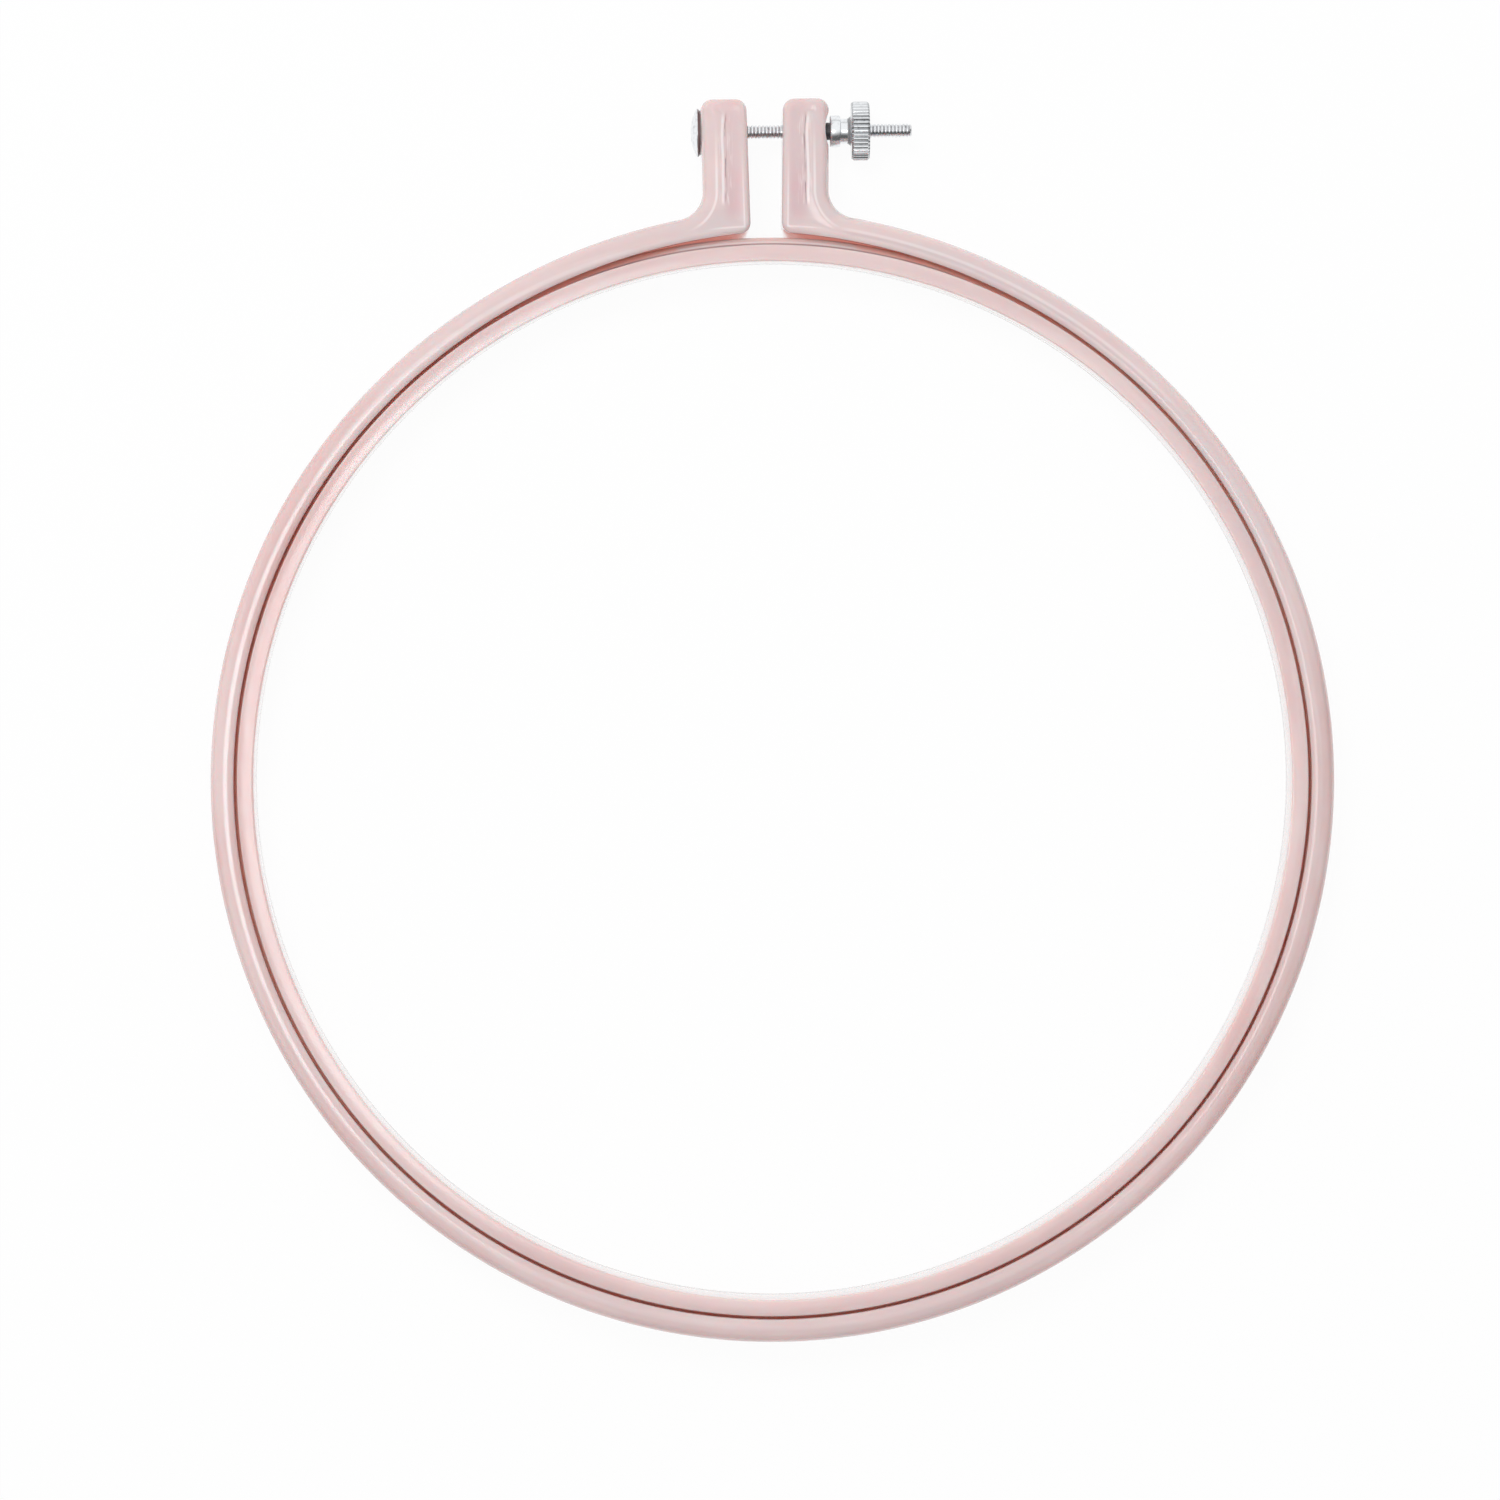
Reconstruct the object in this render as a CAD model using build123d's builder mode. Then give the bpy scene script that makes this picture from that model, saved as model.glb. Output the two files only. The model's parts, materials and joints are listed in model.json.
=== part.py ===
"""Screw-clamp embroidery hoop with a 230 mm opening, in millimetres.

The hoop lies flat: +Z is the axis of the rings and z = 0 is their mid-height. The split in the outer ring
and its two lugs point to +Y. The clamp screw runs along X at z = 0, its domed head at -X and its knurled
nut at +X.
"""

import os
from math import acos, cos, degrees, radians, sin, sqrt

from build123d import *

# Both rings
ring_height = 13.6
opening_radius = 115.0
ring_clearance = 0.3
cut_overrun = 1.0

# Inner ring: a wall with a lower shelf outside its top land
inner_wall = 5.4
land_width = 3.7
shelf_drop = 2.8
shelf_fall = 0.3
inner_ring_chamfer = 0.35
land_chamfer = 0.35

# Outer ring: its lip closes over the shelf, and its split ends stand out a little
lip_reach = 1.3
band_width = 5.2
edge_round = 2.2
underside_chamfer = 0.8
flare_angle = 30.0
flare_gain = 15.5

# Lugs: they lean apart a little towards their free ends
foot_gap = 6.8
tip_gap = 8.1
foot_width = 10.4
tip_width = 10.2
screw_reach = 19.4
lug_cap = 6.9
foot_corner = 2.4
tip_corner = 2.6
web_round = 6.2
nut_seat_depth = 0.8
nut_seat_width = 7.6

# Clamp screw
screw_diameter = 3.0
screw_clearance = 0.1
seat_clearance = 0.3
head_diameter = 10.7
head_rim = 0.55
head_crown = 1.4
head_chamfer = 0.35
neck_side = 4.6
neck_length = 4.3
neck_corner = 0.4
neck_clearance = 0.1
tip_beyond_nut = 9.4
tip_chamfer = 0.4

# Knurled nut, from its nose at the lug to its outer face
nut_bore_clearance = 0.05
nose_diameter = 3.9
nose_length = 0.9
collar_diameter = 7.0
collar_length = 2.25
collar_chamfer = 0.3
waist_diameter = 5.6
waist_groove = 1.6
waist_length = 2.45
disc_diameter = 13.0
disc_length = 4.0
disc_chamfer = 0.45
knurl_count = 42
knurl_depth = 0.34
knurl_land_share = 0.3
bore_chamfer = 0.35

# Heights and radii that follow from the sizes above
half_height = ring_height / 2
inner_radius = opening_radius + inner_wall
land_radius = opening_radius + land_width
shelf_height = half_height - shelf_drop
relief_radius = inner_radius + ring_clearance
lip_radius = relief_radius - lip_reach
lip_underside = shelf_height + ring_clearance
outer_radius = lip_radius + band_width
screw_y = outer_radius + screw_reach
lug_top = screw_y + lug_cap
screw_radius = screw_diameter / 2
screw_axis = Axis((0, screw_y, 0), (1, 0, 0))

# Where each end of the outer ring starts to stand out, and the centre of its flatter arc
flare_start = 90 - flare_angle
flare_centre = (-flare_gain * cos(radians(flare_start)), -flare_gain * sin(radians(flare_start)))


def flare_end(radius, x):
    """Direction, in degrees about the flatter arc's centre, in which that arc reaches the given x."""
    return degrees(acos((x - flare_centre[0]) / (radius + flare_gain)))


def flare_y(radius, x):
    """Height at which the flatter arc of a ring edge passes the given x."""
    return flare_centre[1] + sqrt((radius + flare_gain) ** 2 - (x - flare_centre[0]) ** 2)


def ring_edge(radius, x):
    """Right half of a ring edge inside a line context: a true arc, then the flatter arc up to x."""
    CenterArc((0, 0), radius, -90, 90 + flare_start)
    CenterArc(flare_centre, radius + flare_gain, flare_start, flare_end(radius, x) - flare_start)


def lug_side(y):
    """Distance of the lugs' outer sides from the middle of the split at a given y."""
    share = (y - foot_y) / (lug_top - foot_y)
    return foot_side + share * (tip_side - foot_side)


foot_y = flare_y(lip_radius, foot_gap / 2)
foot_side = foot_gap / 2 + foot_width
tip_side = tip_gap / 2 + tip_width
web_side = lug_side(flare_y(outer_radius, foot_side))
web_y = flare_y(outer_radius, web_side)
screw_side = lug_side(screw_y)

# Inner ring
with BuildPart() as inner_ring:
    with BuildSketch(Plane.XZ) as inner_section:
        with BuildLine():
            Polyline(
                (opening_radius, -half_height),
                (inner_radius, -half_height),
                (inner_radius, shelf_height - shelf_fall),
                (land_radius, shelf_height),
                (land_radius, half_height),
                (opening_radius, half_height),
                close=True,
            )
        make_face()
        corners = inner_section.vertices()
        land_corners = corners.sort_by_distance((land_radius, half_height))[:1]
        shelf_corners = corners.sort_by_distance((inner_radius, shelf_height))[:1]
        base_corners = corners.sort_by_distance((inner_radius, -half_height))[:1]
        chamfer(land_corners + shelf_corners, land_chamfer)
        chamfer(corners.group_by(Axis.X)[0] + base_corners, inner_ring_chamfer)
    revolve(axis=Axis.Z)

inner_ring.part.label = "inner_ring"

# Outer ring with its two lugs
with BuildPart() as outer_ring:
    with BuildSketch(Plane.XY.offset(-half_height)) as outline:
        with BuildLine():
            ring_edge(outer_radius, web_side)
            Polyline(
                (web_side, web_y),
                (tip_side, lug_top),
                (tip_gap / 2, lug_top),
                (foot_gap / 2, foot_y),
            )
            ring_edge(lip_radius, foot_gap / 2)
            Line((0, -lip_radius), (0, -outer_radius))
        make_face()
        fillet(outline.vertices().sort_by_distance((foot_gap / 2, foot_y))[0], foot_corner)
        fillet(outline.vertices().sort_by_distance((web_side, web_y))[0], web_round)
        fillet(outline.vertices().group_by(Axis.Y)[-1], tip_corner)
        mirror(about=Plane.YZ)
    extrude(amount=ring_height)
    fillet(outer_ring.faces().sort_by(Axis.Z)[-1].edges(), edge_round)
    chamfer(outer_ring.faces().sort_by(Axis.Z)[0].edges(), underside_chamfer)

    # The relief under the lip, which takes the inner ring
    relief_y = flare_y(relief_radius, foot_gap / 2)
    with BuildSketch(Plane.XY.offset(-half_height)):
        with BuildLine():
            ring_edge(relief_radius, foot_gap / 2)
            Polyline((foot_gap / 2, relief_y), (0, relief_y), (0, -relief_radius))
        make_face()
        mirror(about=Plane.YZ)
    extrude(amount=half_height + lip_underside, mode=Mode.SUBTRACT)

    # The screw's hole through both lugs, and the square pocket for its neck
    with BuildSketch(Plane.YZ.offset(-tip_side - cut_overrun)):
        with Locations((screw_y, 0)):
            Circle(screw_radius + screw_clearance)
    extrude(amount=2 * (tip_side + cut_overrun), mode=Mode.SUBTRACT)
    with BuildSketch(Plane.YZ.offset(-screw_side - seat_clearance + neck_length + neck_clearance)):
        with Locations((screw_y, 0)):
            RectangleRounded(neck_side + 2 * neck_clearance, neck_side + 2 * neck_clearance, neck_corner)
    extrude(amount=-neck_length - cut_overrun, mode=Mode.SUBTRACT)

    # The hollow across the right lug's outer side that the nut's nose reaches into
    seat_radius = (nut_seat_width**2 / 4 + nut_seat_depth**2) / (2 * nut_seat_depth)
    with BuildSketch(Plane.XY.offset(-half_height)):
        with Locations((screw_side - nut_seat_depth + seat_radius, screw_y)):
            Circle(seat_radius)
    extrude(amount=ring_height, mode=Mode.SUBTRACT)

outer_ring.part.label = "outer_ring"

# Clamp screw: domed head, square neck and plain shaft at the thread's outer diameter
head_seat = -screw_side - seat_clearance
nut_nose = screw_side - nut_seat_depth + seat_clearance
nut_face = nut_nose + nose_length + collar_length + waist_length + disc_length
screw_tip = nut_face + tip_beyond_nut

with BuildPart() as clamp_screw:
    with BuildSketch(Plane.XY):
        with BuildLine():
            head_top = (head_seat - head_rim, screw_y + head_diameter / 2)
            crown = (head_seat - head_rim - head_crown, screw_y)
            Polyline(
                crown,
                (screw_tip, screw_y),
                (screw_tip, screw_y + screw_radius - tip_chamfer),
                (screw_tip - tip_chamfer, screw_y + screw_radius),
                (head_seat, screw_y + screw_radius),
                (head_seat, screw_y + head_diameter / 2 - head_chamfer),
                (head_seat - head_chamfer, screw_y + head_diameter / 2),
                head_top,
            )
            TangentArc(crown, head_top, tangent=(0, 1))
        make_face()
    revolve(axis=screw_axis)
    with BuildSketch(Plane.YZ.offset(head_seat)):
        with Locations((screw_y, 0)):
            RectangleRounded(neck_side, neck_side, neck_corner)
    extrude(amount=neck_length)

clamp_screw.part.label = "clamp_screw"

# Knurled nut: nose, collar, waist flaring out to a straight-knurled disc
collar_start = nut_nose + nose_length
waist_start = collar_start + collar_length
disc_start = waist_start + waist_length
nose_radius = nose_diameter / 2
collar_radius = collar_diameter / 2
waist_radius = waist_diameter / 2
disc_radius = disc_diameter / 2
bore_radius = screw_radius + nut_bore_clearance
groove_width = 2 * disc_radius * sin(radians(180 / knurl_count)) * (1 - knurl_land_share)

with BuildPart() as knurled_nut:
    with BuildSketch(Plane.YZ.offset(disc_start)):
        with Locations((screw_y, 0)):
            Circle(disc_radius)
            with PolarLocations(disc_radius, knurl_count):
                Polygon(
                    (-knurl_depth, 0),
                    (knurl_depth, groove_width),
                    (knurl_depth, -groove_width),
                    align=None,
                    mode=Mode.SUBTRACT,
                )
    extrude(amount=disc_length)

    # The turned blank's chamfers cut the ends of the teeth back
    with BuildSketch(Plane.XY):
        with BuildLine():
            Polyline(
                (disc_start, screw_y),
                (disc_start, screw_y + disc_radius - disc_chamfer),
                (disc_start + disc_chamfer, screw_y + disc_radius),
                (nut_face - disc_chamfer, screw_y + disc_radius),
                (nut_face, screw_y + disc_radius - disc_chamfer),
                (nut_face, screw_y),
                close=True,
            )
        make_face()
    revolve(axis=screw_axis, mode=Mode.INTERSECT)

    with BuildSketch(Plane.XY) as stem:
        with BuildLine():
            Polyline(
                (disc_start, screw_y + collar_radius),
                (disc_start, screw_y),
                (nut_nose, screw_y),
                (nut_nose, screw_y + nose_radius),
                (collar_start, screw_y + nose_radius),
                (collar_start, screw_y + collar_radius),
                (waist_start, screw_y + collar_radius),
                (waist_start, screw_y + waist_radius),
                (waist_start + waist_groove, screw_y + waist_radius),
                close=True,
            )
        make_face()
        collar_corners = stem.vertices().group_by(Axis.Y)[-1].sort_by(Axis.X)[:2]
        chamfer(collar_corners, collar_chamfer)
    revolve(axis=screw_axis)

    with BuildSketch(Plane.YZ.offset(nut_nose - cut_overrun)):
        with Locations((screw_y, 0)):
            Circle(bore_radius)
    extrude(amount=nut_face - nut_nose + 2 * cut_overrun, mode=Mode.SUBTRACT)
    outer_face = knurled_nut.faces().sort_by(Axis.X)[-1]
    chamfer(outer_face.edges().filter_by(GeomType.CIRCLE).sort_by(SortBy.RADIUS)[0], bore_chamfer)

knurled_nut.part.label = "knurled_nut"

os.makedirs("parts", exist_ok=True)
for piece in (inner_ring, outer_ring, clamp_screw, knurled_nut):
    export_step(piece.part, f"parts/{piece.part.label}.step")
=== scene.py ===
"""Embroidery hoop: the finished meshes of its two plastic rings, its screw and its nut, with their finishes.

All lengths are in metres. The rings lie flat about the Z axis with their mid-height at z = 0. The split in
the outer ring and its two lugs point to +Y, and the clamp screw runs along X, its head at -X.
"""

import json
from math import atan2, cos, degrees, pi, radians, sin, sqrt, tan

import bmesh
import bpy
import numpy as np
from mathutils import Matrix, Vector
from mathutils.geometry import delaunay_2d_cdt


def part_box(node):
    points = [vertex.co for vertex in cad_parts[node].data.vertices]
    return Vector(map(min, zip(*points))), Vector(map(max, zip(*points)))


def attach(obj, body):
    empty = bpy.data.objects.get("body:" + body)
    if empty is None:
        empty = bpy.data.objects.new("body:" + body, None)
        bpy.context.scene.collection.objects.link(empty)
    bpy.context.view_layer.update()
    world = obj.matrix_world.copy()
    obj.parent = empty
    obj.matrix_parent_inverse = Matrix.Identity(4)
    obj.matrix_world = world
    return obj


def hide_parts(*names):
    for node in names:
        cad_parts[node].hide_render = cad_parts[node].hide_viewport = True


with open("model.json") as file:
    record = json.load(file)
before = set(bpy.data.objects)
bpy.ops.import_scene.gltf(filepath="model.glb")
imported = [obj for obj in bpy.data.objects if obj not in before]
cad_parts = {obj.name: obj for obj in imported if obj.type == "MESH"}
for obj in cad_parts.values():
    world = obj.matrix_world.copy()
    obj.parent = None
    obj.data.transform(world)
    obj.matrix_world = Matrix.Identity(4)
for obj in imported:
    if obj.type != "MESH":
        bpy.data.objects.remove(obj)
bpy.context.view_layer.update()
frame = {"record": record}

bl_info = {
    "name": "Embroidery Hoop",
    "version": (1, 0, 0),
    "blender": (4, 5, 0),
    "location": "3D View > Sidebar > Hoop",
    "description": "Makes a screw-clamp embroidery hoop and its studio",
    "category": "Add Mesh",
}

MM = 0.001
MERGE = 0.002 * MM
KNURL_FLANK = 2.9
TINY = 0.001 * MM
STEP = 0.4 * MM
NECK_CORNER = 0.4 * MM
WHITE = (1.0, 1.0, 1.0, 1.0)

# What the frame gives
opening = next(mount for mount in frame["record"]["mounts"] if mount["name"] == "hoop_opening")
ring_low, ring_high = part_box("inner_ring")
outer_low, outer_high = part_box("outer_ring")
outer_rim = -outer_low.y
screw_low, screw_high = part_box("clamp_screw")
nut_low, nut_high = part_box("knurled_nut")
screw_y = (screw_low.y + screw_high.y) / 2


def length(name, description, default):
    """A size property in metres."""
    return bpy.props.FloatProperty(
        name=name, description=description, default=default, min=0.0, precision=5, unit="LENGTH"
    )


def angle(name, description, default):
    """An angle property, kept in radians."""
    return bpy.props.FloatProperty(name=name, description=description, default=default, subtype="ANGLE")


def spot(name, description, default):
    """A place property in metres."""
    return bpy.props.FloatVectorProperty(name=name, description=description, default=default, unit="LENGTH")


def colour(name, description, default):
    """A colour property with linear red, green and blue."""
    return bpy.props.FloatVectorProperty(
        name=name, description=description, default=default, size=3, min=0.0, max=1.0, subtype="COLOR"
    )


class HoopRingSizes(bpy.types.PropertyGroup):
    """Sizes of the two plastic rings"""

    opening_radius: length("Opening radius", "Radius of the clear opening", opening["dims"]["r_mm"] * MM)
    height: length("Height", "Height of both rings", ring_high.z - ring_low.z)
    inner_wall: length("Inner wall", "Width of the inner ring", 5.4 * MM)
    land_width: length("Land width", "Width of the inner ring's top land", 3.7 * MM)
    shelf_drop: length("Shelf drop", "Depth of the shelf below the land", 2.8 * MM)
    shelf_fall: length("Shelf fall", "How far the shelf falls towards its rim", 0.3 * MM)
    inner_round: length("Inner rounding", "Rounding of the inner ring's edges", 0.45 * MM)
    land_round: length("Land rounding", "Rounding of the land's outer edge", 0.4 * MM)
    clearance: length("Clearance", "Gap between the two rings", 0.3 * MM)
    lip_reach: length("Lip reach", "How far the lip covers the shelf", 1.3 * MM)
    band_width: length("Band width", "Width of the outer ring's top", 5.2 * MM)
    base_round: length("Base rounding", "Rounding of the outer ring's lower rim", 1.2 * MM)
    land_fall: length("Land fall", "How far the land falls towards its outer edge", 0.13 * MM)
    flare_angle: angle("Flare angle", "Stretch beside the split that stands out", radians(40))
    flare_gain: length("Flare gain", "Extra radius of the flatter arc beside the split", 10.2 * MM)


class HoopLugSizes(bpy.types.PropertyGroup):
    """Sizes of the outer ring's two lugs and of its moulded rim"""

    foot_gap: length("Gap at the foot", "Width of the split at the ring", 6.8 * MM)
    tip_gap: length("Gap at the tip", "Width of the split at the lugs' ends", 8.1 * MM)
    foot_width: length("Foot width", "Width of a lug at the ring", 10.4 * MM)
    tip_width: length("Tip width", "Width of a lug at its end", 10.2 * MM)
    foot_corner: length("Foot corner", "Rounding of the ring's split ends in plan", 2.4 * MM)
    tip_corner: length("Tip corner", "Rounding of the lugs' ends in plan", 2.6 * MM)
    web_round: length("Web rounding", "Rounding between a lug and the ring in plan", 6.2 * MM)
    dish_depth: length("Dish depth", "Depth of the sink in a lug's top", 0.16 * MM)
    outer_corner: length("Outer corner", "Corner arc of the ring's outer rim", 2.0 * MM)
    outer_reach: length("Outer reach", "From the ring's outer wall to its crest", 3.7 * MM)
    side_corner: length("Side corner", "Corner arc of the lugs' outer sides", 1.9 * MM)
    side_reach: length("Side reach", "From a lug's outer side to its crest", 3.7 * MM)
    gap_corner: length("Gap corner", "Corner arc of the lugs' rim at the split", 1.0 * MM)
    gap_reach: length("Gap reach", "From a lug's side at the split to its crest", 1.4 * MM)
    lip_corner: length("Lip corner", "Corner arc of the lip's edge", 0.45 * MM)
    lip_crest: length("Lip crest", "From the lip's edge to the ring's crest", 1.5 * MM)
    wide_turn: angle("Wide turn", "Tilt at which the outer corner arcs run into the crown", radians(14))
    tight_turn: angle("Tight turn", "Tilt at which the inner corner arcs run into the crown", radians(25))
    pocket_side: length("Pocket side", "Side of the square pocket in the left lug", 4.8 * MM)
    pocket_depth: length("Pocket depth", "Depth of that pocket from the head's seat", 4.4 * MM)
    seat_depth: length("Seat depth", "Depth of the hollow in the right lug", 0.8 * MM)
    seat_width: length("Seat width", "Width of that hollow", 7.6 * MM)
    hole_radius: length("Hole radius", "Radius of the screw's hole", 1.6 * MM)


class HoopClampSizes(bpy.types.PropertyGroup):
    """Sizes of the clamp screw and the knurled nut"""

    screw_radius: length("Screw radius", "Radius over the thread's crests", 1.5 * MM)
    pitch: length("Pitch", "Pitch of the thread", 0.8 * MM)
    thread_depth: length("Thread depth", "Depth of the thread's grooves", 0.34 * MM)
    tip_chamfer: length("Tip chamfer", "Chamfer of the screw's end", 0.4 * MM)
    head_radius: length("Head radius", "Radius of the screw's head", 5.35 * MM)
    head_rim: length("Head rim", "Height of the head's rim", 0.55 * MM)
    head_crown: length("Head crown", "Height of the head's dome above its rim", 1.4 * MM)
    head_chamfer: length("Head chamfer", "Chamfer of the head's edge at its seat", 0.42 * MM)
    head_seat: length("Head seat", "Thickness of the ring under the head's edge", 0.26 * MM)
    neck_side: length("Neck side", "Side of the square neck", 4.6 * MM)
    neck_length: length("Neck length", "Length of the square neck", 4.3 * MM)
    nose_radius: length("Nose radius", "Radius of the nut's nose", 1.95 * MM)
    nose_length: length("Nose length", "Length of the nut's nose", 0.9 * MM)
    collar_radius: length("Collar radius", "Radius of the nut's collar", 3.5 * MM)
    collar_length: length("Collar length", "Length of the nut's collar", 2.25 * MM)
    waist_radius: length("Waist radius", "Radius of the nut's waist", 2.8 * MM)
    waist_length: length("Waist length", "Length of the nut's waist", 2.45 * MM)
    waist_groove: length("Waist groove", "Straight part of the nut's waist", 1.6 * MM)
    disc_radius: length("Disc radius", "Radius of the knurled disc", 6.5 * MM)
    disc_length: length("Disc length", "Thickness of the knurled disc", 4.0 * MM)
    disc_chamfer: length("Disc chamfer", "Chamfer of the knurled disc", 0.45 * MM)
    knurl_depth: length("Knurl depth", "Depth of the knurl's grooves", 0.34 * MM)
    bore_radius: length("Bore radius", "Radius of the nut's bore", 1.55 * MM)
    knurls: bpy.props.IntProperty(name="Knurls", description="Teeth round the disc", default=42, min=3)


class HoopFinish(bpy.types.PropertyGroup):
    """Colours of the plastic and the plating, and of the highlights and shade painted on them"""

    pale: colour("Pale", "Lightest pink of the marbled plastic", (0.80, 0.64, 0.63))
    warm: colour("Warm", "Deeper salmon of the marbled plastic", (0.73, 0.495, 0.48))
    # A mauve of the plastic, which towards the top also stands for a painted whitish reflection
    cool: colour("Cool", "Greyer mauve of the marbled plastic", (0.72, 0.605, 0.607))
    # Painted shade: salmon on the shelf and inside the lip, between the rings
    salmon: colour("Salmon", "Colour of the inner ring's shelf", (0.79, 0.54, 0.515))
    # Painted red shade deep in the gap between the rings, where light comes through the plastic
    shadowed: colour("Shadowed", "Colour of the plastic deep in the gap between the rings", (0.96, 0.42, 0.34))
    # Painted highlight along each ring's crest and on the inner ring's land
    bloom: colour("Bloom", "Milky pink of the flow line along each ring", (0.87, 0.79, 0.79))
    # Mauve pink of a panel on each lug's top, stronger towards the foot
    rosy: colour("Rosy", "Mauve pink of the flow mark on each lug", (0.70, 0.49, 0.51))
    nickel: colour("Nickel", "Colour of the bright plating", (0.88, 0.90, 0.92))
    nickel_worn: colour("Worn nickel", "Colour of the plating where it is rubbed", (0.66, 0.68, 0.70))
    # Darker in the screw's grooves, and a painted brown shade at the head's seat edge
    tarnish_and_shade: colour("Tarnish and shade", "Colour of the screw in its grooves and under its head", (0.12, 0.045, 0.042))
    shade: colour("Shade", "Colour of the nut in its grooves and on its nose", (0.06, 0.06, 0.065))


class HoopStudio(bpy.types.PropertyGroup):
    """Camera, lamps and floor"""

    camera_place: spot("Camera place", "Where the camera stands", (-0.03, 0.036, 1.35))
    camera_aim: spot("Camera aim", "What the picture is centred on", (-0.0050, 0.0069, 0))
    camera_roll: angle("Camera roll", "Turn of the camera about its view", radians(0.75))
    frame_width: length("Frame width", "Width of the picture at the hoop", 333.6 * MM)
    floor_size: length("Floor size", "Side of the floor", 30.0)


class Number:
    """An output socket, with Math nodes written as operators."""

    def __init__(self, socket):
        self.socket = socket
        self.tree = socket.id_data

    def __add__(self, other):
        return maths("ADD", self, other)

    def __sub__(self, other):
        return maths("SUBTRACT", self, other)

    def __rsub__(self, other):
        return maths("SUBTRACT", other, self)

    def __mul__(self, other):
        return maths("MULTIPLY", self, other)

    def __truediv__(self, other):
        return maths("DIVIDE", self, other)

    def __pow__(self, other):
        return maths("POWER", self, other)

    def __abs__(self):
        return maths("ABSOLUTE", self)

    def least(self, other):
        """The lesser of two numbers."""
        return maths("MINIMUM", self, other)

    def most(self, other):
        """The greater of two numbers."""
        return maths("MAXIMUM", self, other)

    def band(self, start, end, low=0.0, high=1.0):
        """Smooth step between two limits, falling where the limits fall."""
        limits = {"Value": self, "From Min": start, "From Max": end, "To Min": low, "To Max": high}
        node = add_node(self.tree, "ShaderNodeMapRange", limits, interpolation_type="SMOOTHSTEP")
        return Number(node.outputs[0])

    def near(self, place, fade, core):
        """1 within a core about a place, falling to 0 at a greater distance."""
        return abs(self - place).band(fade, core)


def feed(tree, sockets, values):
    """Links the inputs that are given a Number or a node, and sets the others."""
    for key, value in values.items():
        if isinstance(value, Number):
            tree.links.new(value.socket, sockets[key])
        elif isinstance(value, bpy.types.Node):
            tree.links.new(value.outputs[0], sockets[key])
        else:
            sockets[key].default_value = value


def add_node(tree, kind, inputs=None, **settings):
    """Adds a node with its settings and its inputs."""
    node = tree.nodes.new(kind)
    for name, value in settings.items():
        setattr(node, name, value)
    feed(tree, node.inputs, inputs or {})
    return node


def maths(operation, *values):
    """Number from a Math node. One of the values at least is a Number."""
    tree = next(value.tree for value in values if isinstance(value, Number))
    return Number(add_node(tree, "ShaderNodeMath", dict(enumerate(values)), operation=operation).outputs[0])


def vector_maths(operation, *values):
    """Number from a Vector Math node whose first value is a Number."""
    node = add_node(values[0].tree, "ShaderNodeVectorMath", dict(enumerate(values)), operation=operation)
    return Number(node.outputs["Value"])


def joined(tree, *parts):
    """Vector from up to three numbers."""
    return Number(add_node(tree, "ShaderNodeCombineXYZ", dict(enumerate(parts))).outputs[0])


def split(vector):
    """The three numbers of a vector."""
    return [Number(part) for part in add_node(vector.tree, "ShaderNodeSeparateXYZ", {0: vector}).outputs]


def noise(place, scale, detail, dimensions="3D", **others):
    """Noise over a place."""
    inputs = {"Vector": place, "Scale": scale, "Detail": detail, **others}
    return Number(add_node(place.tree, "ShaderNodeTexNoise", inputs, noise_dimensions=dimensions).outputs[0])


def blended(share, first, second):
    """Mix of two colours by a share."""
    inputs = {"Factor": share, 6: first, 7: second}
    return Number(add_node(share.tree, "ShaderNodeMix", inputs, data_type="RGBA").outputs[2])


def object_place(tree):
    """Place in the object's own coordinates."""
    return Number(add_node(tree, "ShaderNodeTexCoord").outputs["Object"])


def ray_kinds(tree):
    """1 for camera rays, for glossy rays and for transmission rays."""
    rays = add_node(tree, "ShaderNodeLightPath").outputs
    return [Number(rays[f"Is {kind} Ray"]) for kind in ("Camera", "Glossy", "Transmission")]


def openness(tree, distance, samples):
    """How open the surroundings of a surface are within a distance, from 0 to 1."""
    node = add_node(tree, "ShaderNodeAmbientOcclusion", {"Distance": distance}, samples=samples)
    return Number(node.outputs["AO"])


def socket_type(value):
    """Type of a group socket from its first value, or from a type's name."""
    if isinstance(value, str):
        return "NodeSocket" + value
    if isinstance(value, (int, float)):
        return "NodeSocketInt" if isinstance(value, int) else "NodeSocketFloat"
    return "NodeSocketVector" if len(value) == 3 else "NodeSocketColor"


def new_group(name, kind, inputs, outputs):
    """An empty node group, its inputs as Numbers by name, and its output node's sockets."""
    tree = bpy.data.node_groups.new(name, kind)
    for label, value in inputs.items():
        socket = tree.interface.new_socket(label, in_out="INPUT", socket_type=socket_type(value))
        if not isinstance(value, str):
            socket.default_value = value
    for label, kind_name in outputs.items():
        tree.interface.new_socket(label, in_out="OUTPUT", socket_type=socket_type(kind_name))
    given = tree.nodes.new("NodeGroupInput").outputs
    return tree, {label: Number(given[label]) for label in inputs}, tree.nodes.new("NodeGroupOutput").inputs


def painted(tree, geometry, given, result):
    """Ends a geometry tree: doubles merged, instances realized and the material set."""
    closed = add_node(tree, "GeometryNodeMergeByDistance", {"Geometry": geometry, "Distance": MERGE})
    real = add_node(tree, "GeometryNodeRealizeInstances", {"Geometry": closed})
    coated = add_node(tree, "GeometryNodeSetMaterial", {"Geometry": real, "Material": given["Material"]})
    feed(tree, result, {0: coated})
    return tree


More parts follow.
